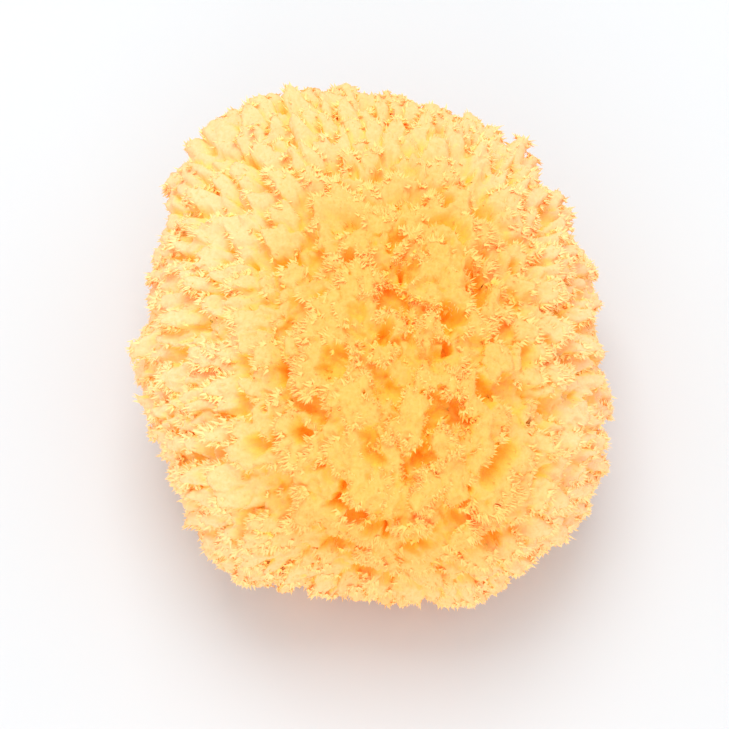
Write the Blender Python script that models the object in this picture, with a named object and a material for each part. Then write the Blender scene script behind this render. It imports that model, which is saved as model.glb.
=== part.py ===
"""A sea sponge of bath size, cut off flat where it grew on rock.

The sponge grew as one piece, so it is one solid: a low, lopsided dome covered in tufts
that grow away from the old root near the cut. The valleys between the tufts are shallow
on top and deep at the sides, the tufts are short near the cut, and rounded hollows open
between them where canals come out. The cut face shows the ends of more canals.

Units are metres and +Z is up. The shape is worked out around the middle of the body and
then placed so that the cut lies on z = 0 with the middle of the sponge's box above the
origin.
"""

import math

import bmesh
import bpy
import numpy as np
from mathutils import Vector

MM = 0.001

# Driving dimensions of the body, from its middle
CUT_BELOW_MIDDLE = 34.0 * MM
RISE_ABOVE_MIDDLE = 54.0 * MM
DROP_BELOW_MIDDLE = 50.0 * MM
PLAN_RADII = np.array([66, 73, 79, 82, 84, 69, 64, 66, 71, 69, 74, 74]) * MM
ROUNDNESS = 2.25
ROOT = np.array([6.0, -1.0, -26.0]) * MM

# Where the middle of the body stands
BODY_PLACE = Vector((-1.6 * MM, -7.1 * MM, CUT_BELOW_MIDDLE))

# Swells of the whole body: width, height and seed of each
SWELLS = ((26.0 * MM, 2.2 * MM, 5), (13.0 * MM, 1.2 * MM, 9))

# Tufts: gap between their middles, depth of the valleys between them, width of a slope,
# and how far some tips fall short
TUFT_GAP = (7.5 * MM, 12.0 * MM)
TUFT_SEED = 11
VALLEY_DEPTH_ON_TOP = 3.0 * MM
VALLEY_DEPTH_AT_SIDES = 6.2 * MM
SIDE_RISE = (0.85, 0.45)
TUFT_SLOPE = 7.0 * MM
TIP_DROP = 1.6 * MM
TIP_SEED = 3
SHORT_TUFT_SHARE = 0.35
FULL_TUFTS_ABOVE_CUT = 22.0 * MM

# Hollows where canals open: gap, radius, depth, stretch and soft edge
HOLLOW_GAP = (11.0 * MM, 18.0 * MM)
HOLLOW_SEED = 23
HOLLOW_SHAPE_SEED = 5
HOLLOW_RADIUS = (3.0 * MM, 5.6 * MM)
HOLLOW_DEPTH = (5.0 * MM, 11.0 * MM)
HOLLOW_STRETCH = (0.2, 0.75)
HOLLOW_EDGE = (0.4, 1.15)
VALLEY_SHARE_IN_HOLLOW = 0.35

# Waviness of tufts and hollows: width, shift and seed
TUFT_WAVES = (9.0 * MM, 2.2 * MM, 21)
HOLLOW_WAVES = (8.0 * MM, 2.4 * MM, 221)

# Canal ends in the cut face, clear of its rim, its middle and each other
CANAL_COUNT = 24
CANAL_RADIUS = (1.7 * MM, 4.4 * MM)
CANAL_LENGTH = (6.0 * MM, 15.0 * MM)
CANAL_TAPER = 0.45
CANAL_SIDES = 10
CANAL_WALL = 3.0 * MM
CANAL_SEED = 17
REST_PATCH = 9.0 * MM
RIM_MARGIN = 9.0 * MM

# Fineness of the solid
SPHERE_CUTS = 7
FACE_COUNT = 9000

# Scattering and noise
TRIES = 9000
BLOCK = 8000
LATTICE = 64
LATTICE_SHIFT = 17.3

SPONGE_COLOUR = (0.98, 0.62, 0.19, 1.0)
SPONGE_ROUGHNESS = 0.92


def between(limits, share):
    """The value at that share of the way between two limits."""
    low, high = limits
    return low + (high - low) * share


def smoothstep(limits, value):
    """Ease from 0 at the first limit to 1 at the second."""
    low, high = limits
    share = np.clip((value - low) / (high - low), 0.0, 1.0)
    return share * share * (3.0 - 2.0 * share)


def unit(vectors):
    """The same directions at length 1."""
    return vectors / np.linalg.norm(vectors, axis=1)[:, None]


def smooth_noise(points, width, seed):
    """Noise from -1 to 1 whose lumps are about one width across."""
    lattice = np.random.default_rng(seed).uniform(-1.0, 1.0, (LATTICE, LATTICE, LATTICE))
    places = points / width + LATTICE_SHIFT
    cells = np.floor(places).astype(int)
    ease = smoothstep((0.0, 1.0), places - cells)
    value = np.zeros(len(points))
    for corner in np.ndindex(2, 2, 2):
        weight = np.prod(np.where(corner, ease, 1.0 - ease), axis=1)
        i, j, k = ((cells + corner) % LATTICE).T
        value += weight * lattice[i, j, k]
    return value


def waved(points, waves):
    """The points, each shifted by three independent noises."""
    width, shift, seed = waves
    noises = [smooth_noise(points, width, seed + axis) for axis in range(3)]
    return points + shift * np.stack(noises, axis=1)


def plan_radius(azimuth):
    """Radius of the body seen from above: a closed smooth curve through PLAN_RADII."""
    place = (azimuth / math.tau * len(PLAN_RADII)) % len(PLAN_RADII)
    first = np.floor(place).astype(int)
    t = place - first
    a, b, c, d = (PLAN_RADII[(first + step) % len(PLAN_RADII)] for step in (-1, 0, 1, 2))
    bend = (2 * a - 5 * b + 4 * c - d) * t + (3 * b - a - 3 * c + d) * t * t
    return b + 0.5 * t * (c - a + bend)


def envelope(directions):
    """Points of the body's outer form, one for each direction from its middle."""
    flat = np.hypot(directions[:, 0], directions[:, 1]).clip(1e-9)
    azimuth = np.arctan2(directions[:, 1], directions[:, 0])
    half_height = np.where(directions[:, 2] > 0.0, RISE_ABOVE_MIDDLE, DROP_BELOW_MIDDLE)
    reach = (flat / plan_radius(azimuth)) ** ROUNDNESS
    reach += (np.abs(directions[:, 2]) / half_height) ** ROUNDNESS
    radius = reach ** (-1.0 / ROUNDNESS)
    points = directions * radius[:, None]
    for width, height, seed in SWELLS:
        radius = radius + height * smooth_noise(points, width, seed)
    return directions * radius[:, None]


def scattered_middles(gap, seed):
    """Points spread over the envelope with uneven gaps."""
    random = np.random.default_rng(seed)
    places = envelope(unit(random.normal(size=(TRIES, 3))))
    gaps = between(gap, random.random(TRIES))
    kept = []
    for place, clearance in zip(places, gaps):
        if not kept or np.linalg.norm(np.array(kept) - place, axis=1).min() > clearance:
            kept.append(place)
    return np.array(kept)


def two_nearest(points, middles):
    """The two middles nearest to each point, and how far away they are."""
    chosen = np.empty((len(points), 2), dtype=int)
    for start in range(0, len(points), BLOCK):
        block = points[start:start + BLOCK]
        apart = np.linalg.norm(block[:, None, :] - middles[None, :, :], axis=2)
        chosen[start:start + BLOCK] = np.argsort(apart, axis=1)[:, :2]
    offsets = points[:, None, :] - middles[chosen]
    return chosen, np.linalg.norm(offsets, axis=2)


def tuft_depth(points, growth):
    """Depth of the valleys between tufts, and of the tips that fall short."""
    middles = scattered_middles(TUFT_GAP, TUFT_SEED)
    drops = np.random.default_rng(TIP_SEED).uniform(0.0, TIP_DROP, len(middles))
    chosen, distances = two_nearest(waved(points, TUFT_WAVES), middles)
    low = 1.0 - smoothstep((0.0, TUFT_SLOPE), distances[:, 1] - distances[:, 0])
    side = smoothstep(SIDE_RISE, growth[:, 2])
    valley = between((VALLEY_DEPTH_ON_TOP, VALLEY_DEPTH_AT_SIDES), side)
    return low * valley + (1.0 - low) * drops[chosen[:, 0]]


def hollow_depth(points):
    """Depth of the rounded, stretched hollows where canals open."""
    middles = scattered_middles(HOLLOW_GAP, HOLLOW_SEED)
    random = np.random.default_rng(HOLLOW_SHAPE_SEED)
    radii = random.uniform(*HOLLOW_RADIUS, len(middles))
    depths = random.uniform(*HOLLOW_DEPTH, len(middles))
    stretch = random.uniform(*HOLLOW_STRETCH, len(middles))
    lines = unit(random.normal(size=(len(middles), 3)))
    places = waved(points, HOLLOW_WAVES)
    chosen, distances = two_nearest(places, middles)
    depth = np.zeros(len(points))
    for hollow, distance in zip(chosen.T, distances.T):
        along = ((places - middles[hollow]) * lines[hollow]).sum(axis=1)
        shortened = (distance ** 2 - stretch[hollow] * along ** 2).clip(0.0)
        inside = 1.0 - smoothstep(HOLLOW_EDGE, np.sqrt(shortened) / radii[hollow])
        depth = np.maximum(depth, inside * depths[hollow])
    return depth


def tufted_surface(directions):
    """Points of the sponge's surface, one for each direction from the body's middle."""
    points = envelope(directions)
    growth = unit(points - ROOT)
    tufts = tuft_depth(points, growth)
    hollows = hollow_depth(points)
    depth = np.maximum(tufts, hollows) + VALLEY_SHARE_IN_HOLLOW * np.minimum(tufts, hollows)
    above_cut = points[:, 2] + CUT_BELOW_MIDDLE
    depth *= between((SHORT_TUFT_SHARE, 1.0), smoothstep((0.0, FULL_TUFTS_ABOVE_CUT), above_cut))
    return points - growth * depth[:, None]


def new_collection(name):
    """A collection of that name in the scene."""
    collection = bpy.data.collections.new(name)
    bpy.context.scene.collection.children.link(collection)
    return collection


def move_to(collection, obj):
    """Put an object in one collection alone."""
    for other in list(obj.users_collection):
        other.objects.unlink(obj)
    collection.objects.link(obj)


def sponge_material():
    """Dry golden fibre, without shine."""
    material = bpy.data.materials.new("Sponge")
    material.use_nodes = True
    shader = material.node_tree.nodes["Principled BSDF"]
    shader.inputs["Base Color"].default_value = SPONGE_COLOUR
    shader.inputs["Roughness"].default_value = SPONGE_ROUGHNESS
    shader.inputs["Metallic"].default_value = 0.0
    return material


def make_sponge(collection):
    """The whole body with its tufts, before anything is cut from it."""
    bpy.ops.mesh.primitive_ico_sphere_add(subdivisions=SPHERE_CUTS, radius=1.0)
    sponge = bpy.context.object
    sponge.name = "sponge"
    move_to(collection, sponge)
    mesh = sponge.data
    mesh.name = "sponge"
    corners = np.empty(len(mesh.vertices) * 3, dtype=np.float32)
    mesh.vertices.foreach_get("co", corners)
    surface = tufted_surface(unit(corners.reshape(-1, 3).astype(float)))
    surface += np.array(BODY_PLACE)
    mesh.vertices.foreach_set("co", surface.astype(np.float32).ravel())
    mesh.update()
    mesh.shade_smooth()
    mesh.materials.append(sponge_material())
    thinned = sponge.modifiers.new("Fewer faces", "DECIMATE")
    thinned.ratio = FACE_COUNT / len(mesh.polygons)
    return sponge


def cut_away(sponge, cutter, name):
    """Take the cutter's shape out of the sponge."""
    cutter.hide_render = True
    cutter.display_type = "WIRE"
    cut = sponge.modifiers.new(name, "BOOLEAN")
    cut.operation = "DIFFERENCE"
    cut.solver = "EXACT"
    cut.object = cutter


def make_rock_cutter(collection):
    """A block whose top is the plane on which the sponge was cut from its rock."""
    side = 4.0 * PLAN_RADII.max()
    bpy.ops.mesh.primitive_cube_add(size=side, location=(0.0, 0.0, -0.5 * side))
    block = bpy.context.object
    block.name = "rock cutter"
    move_to(collection, block)
    return block


def canal_places(random):
    """Middle and radius of each canal end, found by trial."""
    steepness = (CUT_BELOW_MIDDLE / DROP_BELOW_MIDDLE) ** ROUNDNESS
    cut_share = (1.0 - steepness) ** (1.0 / ROUNDNESS)
    places = []
    while len(places) < CANAL_COUNT:
        azimuth = random.uniform(0.0, math.tau)
        radius = random.uniform(*CANAL_RADIUS)
        rim = plan_radius(np.array([azimuth]))[0] * cut_share
        reach = (rim - RIM_MARGIN) * math.sqrt(random.random())
        x = BODY_PLACE.x + reach * math.cos(azimuth)
        y = BODY_PLACE.y + reach * math.sin(azimuth)
        clear = math.hypot(x, y) > REST_PATCH + radius
        for other_x, other_y, other_radius in places:
            apart = math.hypot(x - other_x, y - other_y)
            clear = clear and apart > radius + other_radius + CANAL_WALL
        if clear:
            places.append((x, y, radius))
    return places


def make_canal_cutter(collection):
    """Tapered plugs standing through the cut, one for each canal that ends there."""
    random = np.random.default_rng(CANAL_SEED)
    plugs = bmesh.new()
    for x, y, radius in canal_places(random):
        made = bmesh.ops.create_cone(
            plugs, cap_ends=True, segments=CANAL_SIDES, radius1=radius,
            radius2=radius * CANAL_TAPER, depth=2.0 * random.uniform(*CANAL_LENGTH))
        bmesh.ops.translate(plugs, verts=made["verts"], vec=(x, y, 0.0))
    mesh = bpy.data.meshes.new("canal cutter")
    plugs.to_mesh(mesh)
    plugs.free()
    cutter = bpy.data.objects.new("canal cutter", mesh)
    collection.objects.link(cutter)
    return cutter


def main():
    """Build the sponge in an emptied scene."""
    for obj in list(bpy.data.objects):
        bpy.data.objects.remove(obj, do_unlink=True)
    part = new_collection("Sea sponge")
    cutters = new_collection("Cutters")
    sponge = make_sponge(part)
    cut_away(sponge, make_rock_cutter(cutters), "Cut from the rock")
    cut_away(sponge, make_canal_cutter(cutters), "Canal ends")


if __name__ == "__main__":
    main()
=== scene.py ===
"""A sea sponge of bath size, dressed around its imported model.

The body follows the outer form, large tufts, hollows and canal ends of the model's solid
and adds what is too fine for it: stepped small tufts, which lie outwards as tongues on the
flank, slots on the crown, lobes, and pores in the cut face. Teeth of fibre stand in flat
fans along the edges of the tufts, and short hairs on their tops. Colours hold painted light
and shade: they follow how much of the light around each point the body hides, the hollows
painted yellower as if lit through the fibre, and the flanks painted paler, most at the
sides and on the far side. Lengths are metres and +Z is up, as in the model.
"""

import math

import bpy
import numpy as np
from bpy.props import FloatProperty, FloatVectorProperty, IntProperty, PointerProperty
from bpy.types import Operator, Panel, PropertyGroup
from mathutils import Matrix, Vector
from mathutils.bvhtree import BVHTree
from numpy.random import default_rng


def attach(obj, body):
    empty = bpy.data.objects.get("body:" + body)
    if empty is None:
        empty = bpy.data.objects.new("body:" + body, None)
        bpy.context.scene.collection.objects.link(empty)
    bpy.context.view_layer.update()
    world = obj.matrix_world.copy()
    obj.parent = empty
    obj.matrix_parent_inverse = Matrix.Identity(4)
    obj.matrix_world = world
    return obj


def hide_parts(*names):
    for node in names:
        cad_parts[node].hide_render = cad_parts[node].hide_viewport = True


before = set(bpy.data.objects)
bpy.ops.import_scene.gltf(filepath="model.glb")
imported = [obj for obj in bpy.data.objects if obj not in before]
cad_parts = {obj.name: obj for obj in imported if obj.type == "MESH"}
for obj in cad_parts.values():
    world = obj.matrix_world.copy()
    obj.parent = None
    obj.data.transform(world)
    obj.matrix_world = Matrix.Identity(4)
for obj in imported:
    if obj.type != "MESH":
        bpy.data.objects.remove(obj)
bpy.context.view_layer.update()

bl_info = {
    "name": "Sea sponge",
    "version": (1, 0, 0),
    "blender": (4, 5, 0),
    "location": "3D View > Sidebar > Sea sponge",
    "description": "A dried natural sea sponge with tufts, hollows and teeth of fibre",
    "category": "Add Mesh",
}

MM = 0.001

# Outer form of the body, from its middle, as in the solid
CUT_BELOW_MIDDLE = 34.0 * MM
RISE_ABOVE_MIDDLE = 54.0 * MM
DROP_BELOW_MIDDLE = 50.0 * MM
PLAN_RADII = np.array([66, 73, 79, 82, 84, 69, 64, 66, 71, 69, 74, 74]) * MM
ROUNDNESS = 2.25
ROOT = np.array([6.0, -1.0, -26.0]) * MM
BODY_PLACE = np.array([-1.6, -7.1, 34.0]) * MM
SWELLS = ((26.0 * MM, 2.2 * MM, 5), (13.0 * MM, 1.2 * MM, 9))

# Large tufts of the solid
TUFT_GAP = (7.5 * MM, 12.0 * MM)
TUFT_SEED = 11
VALLEY_DEPTH_ON_TOP = 3.0 * MM
VALLEY_DEPTH_AT_SIDES = 6.2 * MM
SIDE_RISE = (0.85, 0.45)
TUFT_SLOPE = 7.0 * MM
TIP_DROP = 1.6 * MM
TIP_SEED = 3
SHORT_TUFT_SHARE = 0.35
FULL_TUFTS_ABOVE_CUT = 22.0 * MM
TUFT_WAVES = (9.0 * MM, 2.2 * MM, 21)

# Hollows of the solid
HOLLOW_GAP = (11.0 * MM, 18.0 * MM)
HOLLOW_SEED = 23
HOLLOW_SHAPE_SEED = 5
HOLLOW_RADIUS = (3.0 * MM, 5.6 * MM)
HOLLOW_DEPTH = (5.0 * MM, 11.0 * MM)
HOLLOW_STRETCH = (0.2, 0.75)
HOLLOW_EDGE = (0.4, 1.15)
VALLEY_SHARE_IN_HOLLOW = 0.35
HOLLOW_WAVES = (8.0 * MM, 2.4 * MM, 221)

# Canal ends in the cut face, as in the solid
CANAL_COUNT = 24
CANAL_RADIUS = (1.7 * MM, 4.4 * MM)
CANAL_LENGTH = (6.0 * MM, 15.0 * MM)
CANAL_TAPER = 0.45
CANAL_WALL = 3.0 * MM
CANAL_SEED = 17
REST_PATCH = 9.0 * MM
RIM_MARGIN = 9.0 * MM

# Scattering and noise
TRIES = 9000
BLOCK = 8000
LATTICE = 64
LATTICE_SHIFT = 17.3
CELL_LATTICE = 32
CELL_SHIFT = 40.0

# Small tufts: which way they lie, and how their heights step
CROWN_SIDE = 0.04
CROWN_ARC = (math.radians(2.0), math.radians(36.0))
CROWN_STRETCH = 0.55
CROWN_END = (0.0, 0.3)
BESIDE_CROWN = (-0.2, 1.0)
FLANK_RISE = (0.996, 0.78)
OFF_CROWN_RISE = (0.999, 0.965)
HEIGHT_SEED = 8
HIGH_SHARE = 0.5
MIDDLE_SHARE = 0.8
HIGH_DROP = (0.0, 1.2 * MM)
MIDDLE_DROP = (1.7 * MM, 3.6 * MM)
SMALL_WAVES = ((9.0 * MM, 1.8 * MM, 21), (3.4 * MM, 1.7 * MM, 31), (1.6 * MM, 0.9 * MM, 41))
WAVES_LOST_ON_FLANK = 0.5
STEP_WIDTH = 1.8 * MM
GROOVE_WIDTH = 2.0 * MM
GROOVE_NOISE = (9.0 * MM, 51)
GROOVE_PARTS = (-0.5, 0.3)
GROOVE_GAIN_ON_FLANK = 2.0
TONGUE_HALF = 5.0 * MM
LEAST_LOW_SHARE = 0.55
DROP_LOST_ON_FLANK = 0.15
RIM_PLACE = 1.2 * MM
RIM_SPREAD = 0.8 * MM
RIM_RISE = (-0.2 * MM, 1.5 * MM)
OVERHANG_REACH = 2.6 * MM
OVERHANG_RISE = (0.0, 2.0 * MM)
OVERHANG_LOST_ON_FLANK = 0.4
RIDGE_NOISE = (2.0 * MM, 71)
LEAST_RIDGE = 0.5
RIDGE_GAIN = 1.3

# How the reliefs are put together
LARGE_TUFT_SHARE = 0.22
LARGE_TUFT_WAVES = (3.2 * MM, 0.8 * MM, 31)
HOLLOW_SHARE = 0.75
HOLLOW_LOST_ON_FLANK = 0.55
HOLLOW_ROUGHNESS = ((3.2 * MM, 1.0 * MM, 231), (1.4 * MM, 0.6 * MM, 241))
DEEPEST = 13.0 * MM
DEPTH_SCALE = 14.0 * MM
LEANING_ABOVE = 7.0 * MM
LOOSE_LEAN = 1.2 * MM
LOOSE_LEAN_NOISE = (12.0 * MM, 91)
LENGTHENED = 1.022
SPHERE_DIVISIONS = 8
# Painted light: how much paler the flank is painted, everywhere, more at the sides and on the far
# side.
PALE_SHARES = (0.5, 0.6, 0.1)

# Slots on the crown, and swells beside the solid's form
SLOT_GAP = 9.0 * MM
SLOT_SEED = 419
SLOT_RADIUS = (0.2 * MM, 2.3 * MM)
SLOT_EDGE = (0.55, 1.15)
SLOT_DEPTH = 5.5 * MM
SLOT_STRETCH = 0.85
SLOT_WAVES = (4.0 * MM, 1.5 * MM, 401)
SLOT_LOST_ON_FLANK = 0.7
SIDE_SWELLS = ((2.13, 0.35, 3.0 * MM), (1.4, 0.22, -3.0 * MM))

# Rays that find how hidden each point is
GOLDEN_ANGLE = math.pi * (3.0 - math.sqrt(5.0))
RAY_COUNT = 30
RAY_RISE = 0.15
RAY_CLEARANCE = 0.2 * MM
RAY_REACH = 14.0 * MM

# Lobes on the small tufts
LOBE_SEED = 77
LOBE_WAVES = (2.2 * MM, 0.9 * MM, 61)
LOBE_STEP_WIDTH = 1.0 * MM
LOBE_GROOVE = 0.5 * MM
LOBE_GROOVE_WIDTH = 1.2 * MM
LOBE_STRETCH = 0.85
LOBE_RIM_WIDTH = 0.9 * MM
LOBE_RIM_RISE = (0.2, 1.4)
LOBE_RIM_SHARE = 0.3
STEP_LOST_ON_FLANK = 0.4
FINE_HEIGHT = 0.35 * MM
FINE_NOISE = (1.3 * MM, 81)

# Pores and the shape of pits in the cut face
PIT_WAVES = (2.5 * MM, 0.5 * MM, 301)
CANAL_EDGE = (CANAL_TAPER, 0.8)
PORE_SEED = 313
PORE_RADIUS = (0.35 * MM, 1.3 * MM)
PORE_EDGE = (0.5, 1.0)
PIT_RIM = (0.0, 0.08)
LEAST_CUT_DEPTH = 0.3
PIT_DEPTH_GAIN = 0.6
DEEP_PIT = 8.0 * MM

# Fibres
LEAST_STEEP = 0.25
CLEAR_OF_CUT = 1.5 * MM
RIM_POWER = 1.5
LEAST_RIM_WEIGHT = 0.006
TEETH_ABOVE = 5.0 * MM
HAIRS_ABOVE = 12.0 * MM
TOOTH_WIDENING = 1.15
TOOTH_FLATTENING = 0.7
TOOTH_SHOULDER = 0.55
SHOULDER_WIDTH = 0.62
# Painted light: how much of a fibre's shade fades towards its tip, so that tips take the lit
# colour.
TOP_SHADE_LOST = 0.8
LENGTH_ON_TOP = 1.1
LENGTH_LOST_DEEP = 0.7
LENGTH_LOW_DOWN = 0.5
SHORT_FIBRES_BELOW = 8.0 * MM
FIBRE_SCATTER = 0.25
FIBRE_RADII = (0.7, 1.3)
FIBRE_BEND = (-0.3, 0.3)
FIBRE_SUNK = 0.3 * MM
LOOSE_SEED = 303
TOOTH_LEAN = {
    "growth": 0.8, "normal": 0.35, "outward": 0.9, "loose": 0.12, "drift": 0.7,
    "drift_width": 7.0 * MM}
HAIR_SEED = 202
LEAST_HAIR_WEIGHT = 0.03
HAIR_LEAN = {
    "growth": 0.8, "normal": 0.7, "outward": 0.4, "loose": 0.3, "drift": 0.3,
    "drift_width": 5.0 * MM}

# Fans of teeth: where they stand
FAN_SEED = 101
FACING_GAIN = 2.5
FACING_LOSS = 0.2
FACING_LIMITS = (-0.93, 1.5)
FANS_LOST_ON_FLANK = 0.35
FANS_LOST_FAR_OFF = 0.5
FAR_SIDE = (0.1, 0.6)
FAN_PATCHES = (-0.25, 0.35)
FAN_NOISE = (8.0 * MM, 555)
LEAST_FAN_PATCH = 0.12

# Fans of teeth: how a fan lies, and its size
FAN_LEAN = {"downhill": 0.6, "outward": 1.2, "drift": 0.5, "loose": 0.15}
FAN_DRIFT = (11.0 * MM, 108)
FAN_RISE = (0.0, 0.5)
RISE_LOST_ON_FLANK = 0.5
FAN_LENGTH_LOST_DEEP = 0.6
FAN_LENGTH_ON_CROWN = 0.6
FULL_TEETH_ABOVE = (4.0 * MM, 24.0 * MM)
FAN_WIDTH_SHARE = (0.4, 1.0)
FAN_CURL = (-0.25, 0.3)
CURL_ON_CROWN = 0.4
FAN_SUNK = 0.25 * MM

# Fans of teeth: how the teeth of one fan differ
ANGLE_JITTER = (0.4, 0.2)
AXIS_JITTER = 0.14
FLAT_JITTER = 0.2
SUNK_SHARE = (0.16, 0.4)
OUTER_TOOTH_LOSS = 0.28
LENGTH_SHARE = (0.6, 1.25)
RADIUS_SHARE = (0.5, 1.25)
RADIUS_ON_CROWN = 0.75
SIDE_BEND = (-0.12, 0.12)


def srgb(*values):
    """A colour given as sRGB values from 0 to 255, as linear values."""
    shares = [value / 255.0 for value in values]
    return tuple(
        share / 12.92 if share <= 0.04045 else ((share + 0.055) / 1.055) ** 2.4
        for share in shares)


# Fibre material
STREAK_SCALE = 75.0
PATCH_SCALE = 90.0
GRAIN_SCALE = 1300.0
PATCH_SHARE = 0.16
STREAK_SHARE = 0.14
GRAIN_SHARE = 0.2
STOP_PLACES = (0.1, 0.4, 0.85)
SIDE_STOP_PLACES = (0.1, 0.7)
# Painted light: how far the flank takes its paler colours.
FLANK_LIGHTENING = 0.9
MOTTLING = (*srgb(255, 156, 52), 1.0)
MOTTLING_LOST = 0.8
MOTTLING_LOST_ON_PALE = 0.4
BUMP_HEIGHT = 0.45 * MM
BUMP_STRENGTH = 0.4
BUMP_STREAKS = 0.55
ROUGHNESS = 0.8
ROUGHNESS_GAIN = 0.15
SPECULAR = 0.1

# Stage: each lamp's place and size, and what it and the camera point at
FLOOR_SIZE = 5.0
FLOOR_SCALE = 3.0
FLOOR_DARKENING = 0.97
FLOOR_PATCHES = 0.02
FLOOR_ROUGHNESS = 0.8
BOUNCES = 12
NEAREST_SEEN = 0.01
SOFT_LAMP = (-0.06, 0.40, 1.1, 0.7)
FILL_LAMP = (-0.05, -0.9, 0.18, 0.5)
LAMP_TARGET = (0.0, 0.0, 0.03)
CAMERA_TARGET = (-2.6 * MM, -8.9 * MM, 36.0 * MM)


def count_prop(name, description, default):
    """A whole number that can be set."""
    return IntProperty(name=name, description=description, default=default, min=2)


def number_prop(name, description, default, unit="LENGTH"):
    """A number that can be set."""
    return FloatProperty(name=name, description=description, default=default, unit=unit)


def limits_prop(name, what, least, greatest, unit="LENGTH"):
    """A least and a greatest value that can be set."""
    return FloatVectorProperty(
        name=name, description=f"Least and greatest {what}", default=(least, greatest),
        size=2, unit=unit)


def colour_prop(name, description, default):
    """A colour that can be set, with a linear default."""
    return FloatVectorProperty(
        name=name, description=description, default=default, size=3, subtype="COLOR",
        min=0.0, max=1.0)


class SpongeShape(PropertyGroup):
    """Sizes of the small tufts, lobes and pores on the body."""

    face_count: IntProperty(
        name="Faces", description="Triangles of the finished body", default=195000,
        min=20000, max=199000)
    inset: number_prop("Inset", "How far the highest tufts stay inside the form", 0.5 * MM)
    tuft_gap: limits_prop("Tuft gap", "gap between small tufts", 4.3 * MM, 8.0 * MM)
    deepest_tuft: number_prop(
        "Deepest tuft", "How far the lowest tufts lie under the highest", 7.5 * MM)
    groove: number_prop("Groove", "Depth of the groove between tufts of one height", 0.7 * MM)
    overhang: number_prop("Overhang", "How far a tuft stands over a lower one", 1.4 * MM)
    tongue_stretch: FloatProperty(
        name="Tongue stretch", description="How much longer than wide tufts are on the flank",
        default=0.85, min=0.0, max=0.9)
    tongue_tilt: number_prop("Tongue tilt", "How far a tongue's outer end stands up", 3.0 * MM)
    lobe_width: number_prop("Lobe width", "Width of the lobes on a tuft", 3.6 * MM)
    lobe_step: number_prop("Lobe step", "How far lobes differ in height", 1.0 * MM)
    outward_lean: number_prop("Lean", "How far tips on the flank lean outwards", 2.4 * MM)
    pore_gap: number_prop("Pore gap", "Gap between the pores in the cut face", 3.4 * MM)
    pore_depth: number_prop("Pore depth", "Depth of the pores in the cut face", 1.8 * MM)


class SpongeFibres(PropertyGroup):
    """Numbers and sizes of the teeth and hairs. A radius is that at the foot."""

    fans: count_prop("Fans", "Fans of teeth on each third of the sponge", 4600)
    teeth_per_fan: count_prop("Teeth per fan", "Teeth side by side in one fan", 7)
    tooth_length: limits_prop("Tooth length", "length of a tooth", 1.5 * MM, 3.0 * MM)
    tooth_radius: number_prop("Tooth radius", "Radius of a tooth", 0.5 * MM)
    fan_half_width: number_prop("Fan half width", "Half the width of the widest fan", 1.7 * MM)
    fan_spread: limits_prop("Fan spread", "angle of the outermost teeth", 0.15, 0.6, "ROTATION")
    loose_teeth: count_prop("Loose teeth", "Teeth that stand alone", 6000)
    loose_length: limits_prop("Loose length", "length of a loose tooth", 1.0 * MM, 2.3 * MM)
    loose_radius: number_prop("Loose radius", "Radius of a loose tooth", 0.34 * MM)
    hairs: count_prop("Hairs", "Short hairs on the tops of the tufts", 30000)
    hair_length: limits_prop("Hair length", "length of a hair", 0.3 * MM, 0.7 * MM)
    hair_radius: number_prop("Hair radius", "Radius of a hair", 0.12 * MM)


class BodyColours(PropertyGroup):
    """Colours of the body, set by its shade: the hollows carry painted light, yellower than the
    tips.
    """

    # Painted light and shade: these colours are placed by how much light each point loses, the
    # hollow colour yellower to offset the shade there.
    tip: colour_prop("Tips", "Colour of tips in the open", srgb(255, 181, 97))
    middle: colour_prop("Slopes", "Colour between tips and hollows", srgb(255, 188, 82))
    deep: colour_prop("Hollows", "Colour deep in the hollows", srgb(255, 202, 66))
    # Painted light: the flank is painted paler, most at the sides and far side, its hollows
    # yellow against their shade.
    lit_flank_tip: colour_prop("Lit flank tips", "Colour of tips on the flank", srgb(255, 208, 160))
    lit_flank_hollow: colour_prop(
        "Lit flank hollows", "Colour between tufts on the flank", srgb(255, 220, 104))


class ToothColours(PropertyGroup):
    """Colours of the teeth and hairs, set by shade as on the body and a little lighter: painted
    light for the thin fibres.
    """

    # Painted light and shade, placed by the shade as on the body.
    tip: colour_prop("Tips", "Colour of tips in the open", srgb(255, 193, 108))
    middle: colour_prop("Slopes", "Colour between tips and hollows", srgb(255, 199, 96))
    deep: colour_prop("Hollows", "Colour deep in the hollows", srgb(255, 208, 84))
    # Painted light on the flank, as on the body.
    lit_flank_tip: colour_prop("Lit flank tips", "Colour of tips on the flank", srgb(255, 217, 156))
    lit_flank_hollow: colour_prop(
        "Lit flank hollows", "Colour between tufts on the flank", srgb(255, 226, 116))


class SpongeStage(PropertyGroup):
    """Floor, light and camera."""

    floor: colour_prop("Floor", "Colour of the floor", (0.62, 0.637, 0.652))
    sky: number_prop("Sky", "Strength of the light from all round", 1.07, "NONE")
    lamp: number_prop("Lamp", "Power of the soft lamp overhead", 7.2, "POWER")
    fill: number_prop("Fill", "Power of the low lamp on the near side", 3.6, "POWER")
    elevation: number_prop(
        "Elevation", "Angle of the camera above the floor", math.radians(65.0), "ROTATION")
    distance: number_prop("Distance", "From the camera to its target", 0.617)
    lens: number_prop("Lens", "Focal length of the camera", 108.0, "CAMERA")


class SeaSponge(PropertyGroup):
    """Everything that can be set on the sponge."""

    shape: PointerProperty(type=SpongeShape)
    fibres: PointerProperty(type=SpongeFibres)
    colours: PointerProperty(type=BodyColours)
    tooth_colours: PointerProperty(type=ToothColours)
    stage: PointerProperty(type=SpongeStage)


def between(limits, share):
    """The value at that share of the way between two limits."""
    low, high = limits
    return low + (high - low) * share


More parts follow.
